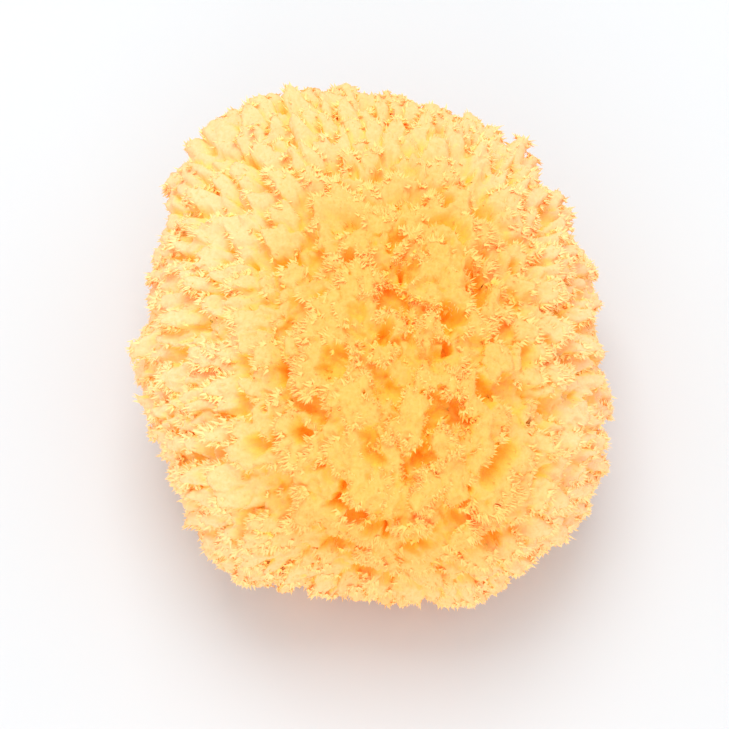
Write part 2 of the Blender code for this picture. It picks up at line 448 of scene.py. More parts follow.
def smoothstep(limits, value):
    """Ease from 0 at the first limit to 1 at the second."""
    low, high = limits
    share = np.clip((value - low) / (high - low), 0.0, 1.0)
    return share * share * (3.0 - 2.0 * share)


def unit(vectors):
    """The same directions at length 1."""
    return vectors / np.linalg.norm(vectors, axis=1).clip(1e-12)[:, None]


def dot(first, second):
    """Scalar product of each pair of rows."""
    return (first * second).sum(axis=1)


def smooth_noise(points, width, seed):
    """Noise from -1 to 1 whose lumps are about one width across."""
    lattice = default_rng(seed).uniform(-1.0, 1.0, (LATTICE, LATTICE, LATTICE))
    places = points / width + LATTICE_SHIFT
    cells = np.floor(places).astype(int)
    ease = smoothstep((0.0, 1.0), places - cells)
    value = np.zeros(len(points))
    for corner in np.ndindex(2, 2, 2):
        sides = [ease[:, axis] if corner[axis] else 1.0 - ease[:, axis] for axis in range(3)]
        i, j, k = ((cells + corner) % LATTICE).T
        value += sides[0] * sides[1] * sides[2] * lattice[i, j, k]
    return value


def three_noises(points, width, seed):
    """A vector of three independent noises for each point."""
    noises = [smooth_noise(points, width, seed + axis) for axis in range(3)]
    return np.stack(noises, axis=1)


def waved(points, waves):
    """The points, each shifted by three independent noises."""
    width, shift, seed = waves
    return points + shift * three_noises(points, width, seed)


def plan_radius(azimuth):
    """Radius of the body seen from above: a closed smooth curve through PLAN_RADII."""
    place = (azimuth / math.tau * len(PLAN_RADII)) % len(PLAN_RADII)
    first = np.floor(place).astype(int)
    t = place - first
    a, b, c, d = (PLAN_RADII[(first + step) % len(PLAN_RADII)] for step in (-1, 0, 1, 2))
    bend = (2 * a - 5 * b + 4 * c - d) * t + (3 * b - a - 3 * c + d) * t * t
    return b + 0.5 * t * (c - a + bend)


def envelope(directions):
    """Points of the body's outer form, one for each direction from its middle."""
    flat = np.hypot(directions[:, 0], directions[:, 1]).clip(1e-9)
    azimuth = np.arctan2(directions[:, 1], directions[:, 0])
    half_height = np.where(directions[:, 2] > 0.0, RISE_ABOVE_MIDDLE, DROP_BELOW_MIDDLE)
    reach = (flat / plan_radius(azimuth)) ** ROUNDNESS
    reach += (np.abs(directions[:, 2]) / half_height) ** ROUNDNESS
    radius = reach ** (-1.0 / ROUNDNESS)
    points = directions * radius[:, None]
    for width, height, seed in SWELLS:
        radius = radius + height * smooth_noise(points, width, seed)
    return directions * radius[:, None]


def scattered_middles(gap, seed):
    """Points spread over the outer form with uneven gaps."""
    random = default_rng(seed)
    places = envelope(unit(random.normal(size=(TRIES, 3))))
    gaps = between(gap, random.random(TRIES))
    kept = []
    for place, clearance in zip(places, gaps):
        if not kept or np.linalg.norm(np.array(kept) - place, axis=1).min() > clearance:
            kept.append(place)
    return np.array(kept)


def two_nearest(points, middles, lines=None, stretch=None):
    """The two middles nearest to each point, and how far away they are.

    With lines and stretch, a distance along its line counts for less, so that the cells
    come out longer than wide.
    """
    if lines is None:
        lines = np.zeros_like(points)
        stretch = np.zeros(len(points))
    lengths = dot(middles, middles)
    chosen = np.empty((len(points), 2), dtype=int)
    distances = np.empty((len(points), 2))
    for start in range(0, len(points), BLOCK):
        some = slice(start, start + BLOCK)
        block, line = points[some], lines[some]
        apart = dot(block, block)[:, None] + lengths[None, :] - 2.0 * block @ middles.T
        along = dot(block, line)[:, None] - line @ middles.T
        apart -= stretch[some, None] * along ** 2
        nearest = np.argpartition(apart, 1, axis=1)[:, :2]
        squares = np.take_along_axis(apart, nearest, axis=1)
        order = np.argsort(squares, axis=1)
        chosen[some] = np.take_along_axis(nearest, order, axis=1)
        distances[some] = np.sqrt(np.take_along_axis(squares, order, axis=1).clip(0.0))
    return chosen, distances


def tuft_depth(points, growth):
    """Depth of the valleys between large tufts, and of the tips that fall short."""
    middles = scattered_middles(TUFT_GAP, TUFT_SEED)
    drops = default_rng(TIP_SEED).uniform(0.0, TIP_DROP, len(middles))
    chosen, distances = two_nearest(waved(points, TUFT_WAVES), middles)
    low = 1.0 - smoothstep((0.0, TUFT_SLOPE), distances[:, 1] - distances[:, 0])
    side = smoothstep(SIDE_RISE, growth[:, 2])
    valley = between((VALLEY_DEPTH_ON_TOP, VALLEY_DEPTH_AT_SIDES), side)
    return low * valley + (1.0 - low) * drops[chosen[:, 0]]


def hollow_depth(points):
    """Depth of the rounded, stretched hollows where canals open."""
    middles = scattered_middles(HOLLOW_GAP, HOLLOW_SEED)
    random = default_rng(HOLLOW_SHAPE_SEED)
    radii = random.uniform(*HOLLOW_RADIUS, len(middles))
    depths = random.uniform(*HOLLOW_DEPTH, len(middles))
    stretch = random.uniform(*HOLLOW_STRETCH, len(middles))
    lines = unit(random.normal(size=(len(middles), 3)))
    places = waved(points, HOLLOW_WAVES)
    chosen, distances = two_nearest(places, middles)
    depth = np.zeros(len(points))
    for hollow, distance in zip(chosen.T, distances.T):
        along = dot(places - middles[hollow], lines[hollow])
        shortened = (distance ** 2 - stretch[hollow] * along ** 2).clip(0.0)
        inside = 1.0 - smoothstep(HOLLOW_EDGE, np.sqrt(shortened) / radii[hollow])
        depth = np.maximum(depth, inside * depths[hollow])
    return depth


def cell_pattern(points, width, seed, lines, stretch):
    """Distances to the nearest two of many cell middles, and a value from -1 to 1 of each."""
    random = default_rng(seed)
    offsets = random.random((CELL_LATTICE, CELL_LATTICE, CELL_LATTICE, 3))
    values = random.uniform(-1.0, 1.0, (CELL_LATTICE, CELL_LATTICE, CELL_LATTICE))
    places = points / width + CELL_SHIFT
    cells = np.floor(places).astype(int)
    first = np.full(len(points), 9.0)
    second = first.copy()
    first_value = np.zeros(len(points))
    second_value = np.zeros(len(points))
    for step in np.ndindex(3, 3, 3):
        cell = cells + step - 1
        i, j, k = (cell % CELL_LATTICE).T
        apart = cell + offsets[i, j, k] - places
        value = values[i, j, k]
        along = dot(apart, lines)
        distance = np.sqrt((dot(apart, apart) - stretch * along ** 2).clip(0.0))
        nearer = distance < first
        next_near = ~nearer & (distance < second)
        second = np.where(nearer, first, np.where(next_near, distance, second))
        second_value = np.where(nearer, first_value, np.where(next_near, value, second_value))
        first = np.where(nearer, distance, first)
        first_value = np.where(nearer, value, first_value)
    return first * width, second * width, first_value, second_value


def nearest_crown(growth):
    """The growth direction on the crown, an arc from far to near, nearest to each point."""
    lean = np.arctan2(-growth[:, 1], growth[:, 2]).clip(*CROWN_ARC)
    side = np.full(len(growth), CROWN_SIDE)
    return unit(np.stack([side, -np.sin(lean), np.cos(lean)], axis=1))


def outward_lines(growth):
    """The way down the flank from the crown, and how much of the flank each point is."""
    crown = nearest_crown(growth)
    rise = dot(growth, crown)
    return unit(growth * rise[:, None] - crown), smoothstep(FLANK_RISE, rise)


def lengthways(growth):
    """The way along the sponge's length that is square to each growth direction."""
    along = np.tile([0.0, 1.0, 0.0], (len(growth), 1))
    return unit(along - dot(along, growth)[:, None] * growth)


def ridge_lines(growth, lines, flank, stretch):
    """Which way the small tufts are longest, and how much longer than wide they are.

    They run along the crown on top of it, and down the flank beside it.
    """
    on_crown = 1.0 - smoothstep(CROWN_END, flank)
    beside = stretch * between(BESIDE_CROWN, flank).clip(0.0)
    ways = np.where((on_crown > 0.0)[:, None], lengthways(growth), lines)
    return ways, np.where(on_crown > 0.0, CROWN_STRETCH * on_crown, beside)


def small_tuft_drops(count, deepest):
    """How far each small tuft lies under the highest: half are high, a few are deep."""
    random = default_rng(HEIGHT_SEED)
    kind = random.random(count)
    high = random.uniform(*HIGH_DROP, count)
    middle = random.uniform(*MIDDLE_DROP, count)
    low = random.uniform(LEAST_LOW_SHARE * deepest, deepest, count)
    return np.where(kind < HIGH_SHARE, high, np.where(kind < MIDDLE_SHARE, middle, low))


def small_tufts(points, growth, lines, flank, shape):
    """Depth of stepped small tufts, how near each point is to a tuft's upper edge, and
    how far that edge stands over the next tuft.
    """
    middles = scattered_middles(shape.tuft_gap, TUFT_SEED)
    drops = small_tuft_drops(len(middles), shape.deepest_tuft)
    shift = sum(height * three_noises(points, width, seed) for width, height, seed in SMALL_WAVES)
    places = points + shift * (1.0 - WAVES_LOST_ON_FLANK * flank)[:, None]
    ways, stretch = ridge_lines(growth, lines, flank, shape.tongue_stretch)
    chosen, distances = two_nearest(places, middles, ways, stretch)
    edge = distances[:, 1] - distances[:, 0]
    heights = []
    for tuft in chosen.T:
        along = dot(places - middles[tuft], lines)
        tilt = shape.tongue_tilt * flank * np.clip(along / TONGUE_HALF, -1.0, 1.0)
        heights.append(drops[tuft] * (1.0 - DROP_LOST_ON_FLANK * flank) - tilt)
    own, next_one = heights
    blend = 0.5 * (1.0 - smoothstep((0.0, STEP_WIDTH), edge))
    groove = shape.groove * (1.0 + GROOVE_GAIN_ON_FLANK * flank)
    groove *= 1.0 - smoothstep((0.0, GROOVE_WIDTH), edge)
    groove *= smoothstep(GROOVE_PARTS, smooth_noise(points, *GROOVE_NOISE))
    depth = own * (1.0 - blend) + next_one * blend + groove + 0.5 * shape.tongue_tilt * flank
    rim = np.exp(-((edge - RIM_PLACE) / RIM_SPREAD) ** 2)
    rim *= smoothstep(RIM_RISE, next_one - own)
    towards = unit(middles[chosen[:, 1]] - middles[chosen[:, 0]])
    overhang = (1.0 - 2.0 * blend) * np.exp(-(edge / OVERHANG_REACH) ** 2)
    border = points + towards * (0.5 * edge)[:, None]
    ridge = (1.0 - 2.0 * np.abs(smooth_noise(border, *RIDGE_NOISE))).clip(0.0) ** 2
    overhang *= LEAST_RIDGE + RIDGE_GAIN * ridge
    higher = smoothstep(OVERHANG_RISE, next_one - own)
    overhang *= higher * shape.overhang * (1.0 - OVERHANG_LOST_ON_FLANK * flank)
    return depth, rim, towards * overhang[:, None]


def lobes(points, lines, flank, shape):
    """Depth of the lobes on the tufts, and how near each point is to a lobe's upper edge."""
    width, shift, seed = LOBE_WAVES
    kept = (1.0 - WAVES_LOST_ON_FLANK * flank)[:, None]
    moved = points + shift * three_noises(points, width, seed) * kept
    first, second, own, next_one = cell_pattern(
        moved, shape.lobe_width, LOBE_SEED, lines, LOBE_STRETCH * flank)
    edge = second - first
    blend = 0.5 * (1.0 - smoothstep((0.0, LOBE_STEP_WIDTH), edge))
    step = own * (1.0 - blend) + next_one * blend
    depth = shape.lobe_step * step * (1.0 - STEP_LOST_ON_FLANK * flank)
    depth += LOBE_GROOVE * (1.0 - smoothstep((0.0, LOBE_GROOVE_WIDTH), edge))
    depth += FINE_HEIGHT * smooth_noise(points, *FINE_NOISE)
    rim = np.exp(-(edge / LOBE_RIM_WIDTH) ** 2) * smoothstep(LOBE_RIM_RISE, next_one - own)
    return depth, rim


def slot_depth(points, growth, flank):
    """Depth of the narrow slots between the tufts on the crown."""
    places = waved(points, SLOT_WAVES)
    first, _, size, _ = cell_pattern(
        places, SLOT_GAP, SLOT_SEED, lengthways(growth), SLOT_STRETCH * (1.0 - flank))
    inside = 1.0 - smoothstep(SLOT_EDGE, first / between(SLOT_RADIUS, 0.5 + 0.5 * size))
    return SLOT_DEPTH * inside * (1.0 - SLOT_LOST_ON_FLANK * flank)


def canal_places(random):
    """Middle and radius of each canal end, found by trial."""
    steepness = (CUT_BELOW_MIDDLE / DROP_BELOW_MIDDLE) ** ROUNDNESS
    cut_share = (1.0 - steepness) ** (1.0 / ROUNDNESS)
    places = []
    while len(places) < CANAL_COUNT:
        azimuth = random.uniform(0.0, math.tau)
        radius = random.uniform(*CANAL_RADIUS)
        rim = plan_radius(np.array([azimuth]))[0] * cut_share
        reach = (rim - RIM_MARGIN) * math.sqrt(random.random())
        x = BODY_PLACE[0] + reach * math.cos(azimuth)
        y = BODY_PLACE[1] + reach * math.sin(azimuth)
        clear = math.hypot(x, y) > REST_PATCH + radius
        for other_x, other_y, other_radius in places:
            apart = math.hypot(x - other_x, y - other_y)
            clear = clear and apart > radius + other_radius + CANAL_WALL
        if clear:
            places.append((x, y, radius))
    return places


def pit_height(points, shape):
    """How far canal ends and pores rise into the body from each point of the cut face."""
    random = default_rng(CANAL_SEED)
    rough = waved(points, PIT_WAVES)
    height = np.zeros(len(points))
    for x, y, radius in canal_places(random):
        length = random.uniform(*CANAL_LENGTH)
        away = np.hypot(rough[:, 0] - x, rough[:, 1] - y) / radius
        height = np.maximum(height, length * (1.0 - smoothstep(CANAL_EDGE, away)))
    unstretched = np.zeros(len(points))
    first, _, size, _ = cell_pattern(
        rough, shape.pore_gap, PORE_SEED, np.zeros_like(points), unstretched)
    radius = between(PORE_RADIUS, 0.5 + 0.5 * size)
    pores = shape.pore_depth * (1.0 - smoothstep(PORE_EDGE, first / radius))
    return np.maximum(height, pores)


def side_swell(directions):
    """A level shift outwards or inwards on the far side."""
    azimuth = np.arctan2(directions[:, 1], directions[:, 0])
    level = directions * (1.0, 1.0, 0.0)
    shift = sum(
        height * np.exp(-((azimuth - middle) / width) ** 2)
        for middle, width, height in SIDE_SWELLS)
    return level * (shift * np.linalg.norm(level, axis=1))[:, None]


def body_surface(directions, shape):
    """Place of each surface point, with its depth, rim and paleness from 0 to 1; the paleness is
    painted light on the flank.
    """
    points = envelope(directions)
    growth = unit(points - ROOT)
    lines, flank = outward_lines(growth)
    depth, rim, overhang = small_tufts(points, growth, lines, flank, shape)
    overhang -= dot(overhang, growth)[:, None] * growth
    depth += LARGE_TUFT_SHARE * tuft_depth(waved(points, LARGE_TUFT_WAVES), growth)
    coarse, fine = HOLLOW_ROUGHNESS
    hollows = hollow_depth(waved(waved(points, coarse), fine))
    hollows *= HOLLOW_SHARE * (1.0 - HOLLOW_LOST_ON_FLANK * flank)
    depth = np.maximum(depth, hollows) + VALLEY_SHARE_IN_HOLLOW * np.minimum(depth, hollows)
    depth += slot_depth(points, growth, flank)
    lobe_depth, lobe_rim = lobes(points, lines, flank, shape)
    rim = np.maximum(rim, LOBE_RIM_SHARE * lobe_rim)
    depth = depth.clip(0.0, DEEPEST) + lobe_depth + shape.inset
    above_cut = points[:, 2] + CUT_BELOW_MIDDLE
    depth *= between((SHORT_TUFT_SHARE, 1.0), smoothstep((0.0, FULL_TUFTS_ABOVE_CUT), above_cut))
    tipness = (1.0 - np.clip(depth / LEANING_ABOVE, 0.0, 1.0))[:, None]
    lean = LOOSE_LEAN * three_noises(points, *LOOSE_LEAN_NOISE)
    lean += shape.outward_lean * flank[:, None] * lines
    surface = points - growth * depth[:, None] + lean * tipness + overhang
    surface += side_swell(directions)
    height = surface[:, 2] + CUT_BELOW_MIDDLE
    root_height = ROOT[2] + CUT_BELOW_MIDDLE
    drawn_in = np.where(height < 0.0, root_height / (root_height - height), 1.0)
    surface = ROOT + (surface - ROOT) * drawn_in[:, None]
    surface[:, 1] *= LENGTHENED
    surface = surface + BODY_PLACE
    cut = drawn_in < 1.0
    surface[cut, 2] = 0.0
    pits = pit_height(surface, shape) * smoothstep(PIT_RIM, 1.0 - drawn_in)
    surface[cut, 2] += pits[cut]
    cut_depth = LEAST_CUT_DEPTH + PIT_DEPTH_GAIN * np.clip(pits / DEEP_PIT, 0.0, 1.0)
    depth_value = np.where(cut, cut_depth, depth / DEPTH_SCALE).clip(0.0, 1.0)
    rim = np.where(cut, 0.0, rim).clip(0.0, 1.0)
    # Painted light: the flank is painted paler, most at the sides and on the far side, to stand
    # in for how the light falls there.
    everywhere, at_sides, far_off = PALE_SHARES
    paleness = everywhere + at_sides * np.abs(growth[:, 0]) + far_off * growth[:, 1].clip(0.0)
    return surface, depth_value, rim, flank * paleness.clip(0.0, 1.0)


class Value:
    """A value socket in a material, so that shader maths reads as plain sums."""

    def __init__(self, paint, socket):
        self.paint = paint
        self.socket = socket

    def join(self, operation, first, second):
        """The result of one Math node."""
        node = self.paint.node("ShaderNodeMath", {"operation": operation}, (first, second))
        return Value(self.paint, node.outputs[0])

    def __add__(self, other):
        return self.join("ADD", self, other)

    def __radd__(self, other):
        return self.join("ADD", other, self)

    def __sub__(self, other):
        return self.join("SUBTRACT", self, other)

    def __rsub__(self, other):
        return self.join("SUBTRACT", other, self)

    def __mul__(self, other):
        return self.join("MULTIPLY", self, other)

    def __rmul__(self, other):
        return self.join("MULTIPLY", other, self)


class Paint:
    """The nodes of one material."""

    def __init__(self, name):
        self.material = bpy.data.materials.new(name)
        self.material.use_nodes = True
        self.tree = self.material.node_tree
        self.shader = self.tree.nodes["Principled BSDF"]

    def node(self, kind, settings, sockets=()):
        """A node of that type, with its settings made first and then its sockets filled."""
        node = self.tree.nodes.new(kind)
        for name, setting in settings.items():
            if name == "stops":
                self.set_stops(node.color_ramp, setting)
            else:
                setattr(node, name, setting)
        self.fill(node, dict(sockets if isinstance(sockets, dict) else enumerate(sockets)))
        return node

    def set_stops(self, ramp, stops):
        """Places and colours of a ramp's stops."""
        while len(ramp.elements) < len(stops):
            ramp.elements.new(0.5)
        for element, (place, colour) in zip(ramp.elements, stops):
            element.position = place
            element.color = (*colour, 1.0)

    def fill(self, node, sockets):
        """Link sockets of a node, or set their numbers and colours."""
        for key, value in sockets.items():
            if isinstance(value, Value):
                value = value.socket
            if isinstance(value, bpy.types.NodeSocket):
                self.tree.links.new(value, node.inputs[key])
            else:
                node.inputs[key].default_value = value

    def attribute(self, name):
        """A value stored on the points of the piece."""
        node = self.node("ShaderNodeAttribute", {"attribute_name": name})
        return Value(self, node.outputs["Fac"])

    def noise(self, place, scale, detail=2.0):
        """Noise from about 0 to 1 at that place."""
        sockets = {"Vector": place, "Scale": scale, "Detail": detail}
        return Value(self, self.node("ShaderNodeTexNoise", {}, sockets).outputs[0])

    def mix(self, share, first, second):
        """A colour between two colours."""
        settings = {"data_type": "RGBA"}
        node = self.node("ShaderNodeMix", settings, {"Factor": share, 6: first, 7: second})
        return node.outputs[2]


def fibre_paint(name, colours, with_grain):
    """Dry fibre, coloured by its shade from tips to hollows and painted paler on the flank:
    painted light and shade.
    """
    paint = Paint(name)
    here = paint.node("ShaderNodeTexCoord", {}).outputs["Object"]
    root = tuple(ROOT + BODY_PLACE)
    from_root = paint.node("ShaderNodeVectorMath", {"operation": "SUBTRACT"}, (here, root))
    way = paint.node("ShaderNodeVectorMath", {"operation": "NORMALIZE"}, (from_root.outputs[0],))
    streaks = paint.noise(way.outputs[0], STREAK_SCALE, 3.0)
    patches = paint.noise(here, PATCH_SCALE)
    grain = paint.noise(here, GRAIN_SCALE, 3.0)
    shade = paint.attribute("shade")
    pale = paint.attribute("pale")
    # The colour is placed by the shade: painted light and shade, with a little random patchiness,
    # streaks and grain.
    place = shade + PATCH_SHARE * (patches - 0.5) + STREAK_SHARE * (streaks - 0.5)
    place = place + GRAIN_SHARE * (grain - 0.5)
    stops = tuple(zip(STOP_PLACES, (colours.tip, colours.middle, colours.deep)))
    side_stops = tuple(zip(SIDE_STOP_PLACES, (colours.lit_flank_tip, colours.lit_flank_hollow)))
    ramp = paint.node("ShaderNodeValToRGB", {"stops": stops}, (place,))
    side_ramp = paint.node("ShaderNodeValToRGB", {"stops": side_stops}, (place,))
    # The flank takes its painted light colours by its paleness.
    colour = paint.mix(FLANK_LIGHTENING * pale, ramp.outputs[0], side_ramp.outputs[0])
    if with_grain:
        # Random mottling, held back where the shade is deep so that the hollows keep their
        # painted light, and less on the pale flank.
        mottled = 1.0 - MOTTLING_LOST * grain - MOTTLING_LOST * streaks
        mottled = mottled * (1.0 - shade) * (1.0 - MOTTLING_LOST_ON_PALE * pale)
        colour = paint.mix(mottled, colour, MOTTLING)
        relief = BUMP_STREAKS * streaks + (1.0 - BUMP_STREAKS) * grain
        bump = paint.node("ShaderNodeBump", {}, {
            "Strength": BUMP_STRENGTH, "Distance": BUMP_HEIGHT, "Height": relief})
        paint.fill(paint.shader, {"Normal": bump.outputs[0]})
    paint.fill(paint.shader, {
        "Base Color": colour, "Roughness": ROUGHNESS + ROUGHNESS_GAIN * streaks,
        "Specular IOR Level": SPECULAR})
    return paint.material


def deselect_all():
    """Leave edit mode and nothing selected."""
    if bpy.context.object and bpy.context.object.mode == "EDIT":
        bpy.ops.object.mode_set(mode="OBJECT")
    bpy.ops.object.select_all(action="DESELECT")


def read_vectors(collection, name):
    """A vector property of all points or faces, as rows."""
    values = np.empty(len(collection) * 3, dtype=np.float32)
    collection.foreach_get(name, values)
    return values.reshape(-1, 3).astype(float)


def point_values(mesh, name):
    """A value stored on the points of a mesh."""
    values = np.empty(len(mesh.vertices), dtype=np.float32)
    mesh.attributes[name].data.foreach_get("value", values)
    return values.astype(float)


def store_values(mesh, name, values):
    """Store a value on the points of a mesh."""
    attribute = mesh.attributes.new(name, "FLOAT", "POINT")
    attribute.data.foreach_set("value", values.astype(np.float32))


def even_ways(count):
    """Directions spread evenly over a sphere."""
    height = 1.0 - (np.arange(count) + 0.5) * 2.0 / count
    turn = np.arange(count) * GOLDEN_ANGLE
    level = np.sqrt(1.0 - height ** 2)
    return np.stack([level * np.cos(turn), level * np.sin(turn), height], axis=1)


def shadow_shares(mesh):
    """How much of the light around it each point loses to the rest of the body."""
    points = read_vectors(mesh.vertices, "co")
    normals = unit(read_vectors(mesh.vertices, "normal"))
    faces = [tuple(face.vertices) for face in mesh.polygons]
    tree = BVHTree.FromPolygons(points.tolist(), faces, all_triangles=True)
    hidden = np.zeros(len(points))
    total = np.full(len(points), 1e-6)
    for way in even_ways(RAY_COUNT):
        share = normals @ way
        facing = np.flatnonzero(share > RAY_RISE)
        starts = (points[facing] + RAY_CLEARANCE * normals[facing]).tolist()
        direction = Vector(way)
        blocked = [tree.ray_cast(start, direction, RAY_REACH)[0] is not None for start in starts]
        hidden[facing] += share[facing] * np.array(blocked)
        total[facing] += share[facing]
    return hidden / total


def settle(piece, material):
    """Give a finished piece its material and its place in the frame."""
    piece.data.materials.clear()
    piece.data.materials.append(material)
    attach(piece, "root")
    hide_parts("sponge")


def make_body(settings):
    """The body with its tufts, lobes and hollows, flat and porous underneath."""
    deselect_all()
    bpy.ops.mesh.primitive_ico_sphere_add(subdivisions=SPHERE_DIVISIONS, radius=1.0)
    body = bpy.context.object
    body.name = "sponge_body"
    body.data.name = "sponge_body"
    mesh = body.data
    directions = unit(read_vectors(mesh.vertices, "co"))
    surface, depth, rim, pale = body_surface(directions, settings.shape)
    mesh.vertices.foreach_set("co", surface.astype(np.float32).ravel())
    mesh.update()
    for name, values in (("depth", depth), ("rim", rim), ("pale", pale)):
        store_values(mesh, name, values)
    thinned = body.modifiers.new("Fewer faces", "DECIMATE")
    thinned.ratio = settings.shape.face_count / len(mesh.polygons)
    bpy.ops.object.modifier_apply(modifier=thinned.name)
    points = read_vectors(body.data.vertices, "co")
    points[:, 2] = points[:, 2].clip(0.0)
    body.data.vertices.foreach_set("co", points.astype(np.float32).ravel())
    body.data.update()
    body.data.shade_smooth()
    # The shade from the rays, from which the colours paint light and shade.
    store_values(body.data, "shade", shadow_shares(body.data))
    settle(body, fibre_paint("Sponge fibre", settings.colours, True))


class Bed:
    """The body's faces as a bed to stand fibres on."""

    def __init__(self, body):
        mesh = body.data
        mesh.calc_loop_triangles()
        corners = np.empty(len(mesh.loop_triangles) * 3, dtype=np.int32)
        mesh.loop_triangles.foreach_get("vertices", corners)
        corners = corners.reshape(-1, 3)
        points = read_vectors(mesh.vertices, "co")
        first, second, third = (points[corners[:, side]] for side in range(3))
        self.area = 0.5 * np.linalg.norm(np.cross(second - first, third - first), axis=1)
        self.middle = (first + second + third) / 3.0
        self.normal = unit(read_vectors(mesh.vertices, "normal")[corners].mean(axis=1))
        self.depth, self.rim, self.pale, self.shade = (
            point_values(mesh, name)[corners].mean(axis=1)
            for name in ("depth", "rim", "pale", "shade"))
        self.growth = unit(self.middle - ROOT - BODY_PLACE)
        self.lines, self.flank = outward_lines(self.growth)
        self.off_crown = smoothstep(OFF_CROWN_RISE, dot(self.growth, nearest_crown(self.growth)))
        downhill = self.normal - dot(self.normal, self.growth)[:, None] * self.growth
        steep = np.linalg.norm(downhill, axis=1)
        self.downhill = downhill / np.maximum(steep, LEAST_STEEP)[:, None]
        self.faces_out = dot(downhill, self.lines)
        self.azimuth = np.arctan2(self.growth[:, 1], self.growth[:, 0])

    def pick(self, random, weight, count):
        """Faces chosen at random by weight and area, none of them on the cut face."""
        weight = weight * self.area * (self.middle[:, 2] > CLEAR_OF_CUT)
        return random.choice(len(weight), count, p=weight / weight.sum())

    def edge_weight(self):
        """How well a tooth stands on each face: best along the tufts' edges, near the top."""
        nearness = np.exp(-(self.depth * DEPTH_SCALE / TEETH_ABOVE) ** 2)
        return (self.rim ** RIM_POWER + LEAST_RIM_WEIGHT) * nearness


def tooth_pattern():
    """One tooth of unit length and radius: three-sided, tapering and pointed."""
    deselect_all()
    bpy.ops.mesh.primitive_cone_add(
        vertices=3, radius1=1.0, radius2=SHOULDER_WIDTH, depth=TOOTH_SHOULDER,
        end_fill_type="NGON", location=(0.0, 0.0, 0.5 * TOOTH_SHOULDER))
    bpy.ops.object.transform_apply(location=True)
    tooth = bpy.context.object
    bpy.ops.object.mode_set(mode="EDIT")
    bpy.ops.mesh.select_mode(type="FACE")
    bpy.ops.mesh.select_all(action="DESELECT")
    bpy.ops.object.mode_set(mode="OBJECT")
    for face in tooth.data.polygons:
        face.select = face.normal.z > 0.9
    bpy.ops.object.mode_set(mode="EDIT")
    tip = (0.0, 0.0, 1.0 - TOOTH_SHOULDER)
    bpy.ops.mesh.extrude_region_move(TRANSFORM_OT_translate={"value": tip})
    bpy.ops.mesh.merge(type="CENTER")
    bpy.ops.mesh.select_all(action="SELECT")
    bpy.ops.mesh.quads_convert_to_tris()
    bpy.ops.mesh.normals_make_consistent(inside=False)
    bpy.ops.object.mode_set(mode="OBJECT")
    return take_pattern(tooth)


def spike_pattern():
    """A three-sided spike of unit length and radius, for a hair or a tooth of a fan."""
    deselect_all()
    bpy.ops.mesh.primitive_cone_add(
        vertices=3, radius1=1.0, radius2=0.0, depth=1.0, end_fill_type="NGON",
        location=(0.0, 0.0, 0.5))
    bpy.ops.object.transform_apply(location=True)
    return take_pattern(bpy.context.object)


def take_pattern(obj):
    """Points and triangles of a pattern, whose object is then removed."""
    mesh = obj.data
    points = read_vectors(mesh.vertices, "co")
    faces = np.array([tuple(face.vertices) for face in mesh.polygons])
    bpy.data.objects.remove(obj, do_unlink=True)
    bpy.data.meshes.remove(mesh)
    return points, faces


def lay_fibres(name, pattern, feet, axes, flat_ways, lengths, radii, bends, shade, pale):
    """One piece of copies of a pattern, each with its own place, size and bend."""
    points, faces = pattern
    count = len(feet)
    across = unit(np.cross(axes, flat_ways))
    over = np.cross(axes, across)
    up = points[:, 2]
    places = feet[:, None, :] + axes[:, None, :] * (lengths[:, None] * up)[:, :, None]
    wide, thick = ((radii[:, None] * points[:, side])[:, :, None] for side in (0, 1))
    places = places + across[:, None, :] * wide * TOOTH_WIDENING
    places = places + over[:, None, :] * thick * TOOTH_FLATTENING
    places = places + bends[:, None, :] * (up ** 2)[None, :, None]
    corners = (np.arange(count) * len(points))[:, None, None] + faces[None, :, :]
    mesh = bpy.data.meshes.new(name)
    mesh.vertices.add(count * len(points))
    mesh.vertices.foreach_set("co", places.astype(np.float32).ravel())
    mesh.loops.add(corners.size)
    mesh.loops.foreach_set("vertex_index", corners.astype(np.int32).ravel())
    mesh.polygons.add(corners.size // 3)
    mesh.polygons.foreach_set("loop_start", np.arange(0, corners.size, 3, dtype=np.int32))
    mesh.update(calc_edges=True)
    mesh.validate()
    # Painted light: shade fades along each fibre, so that its tip takes the lit colour.
    store_values(mesh, "shade", (shade[:, None] * (1.0 - TOP_SHADE_LOST * up[None, :])).ravel())
    store_values(mesh, "pale", np.repeat(pale, len(points)))
    mesh.shade_flat()
    piece = bpy.data.objects.new(name, mesh)
    bpy.context.scene.collection.objects.link(piece)
    return piece


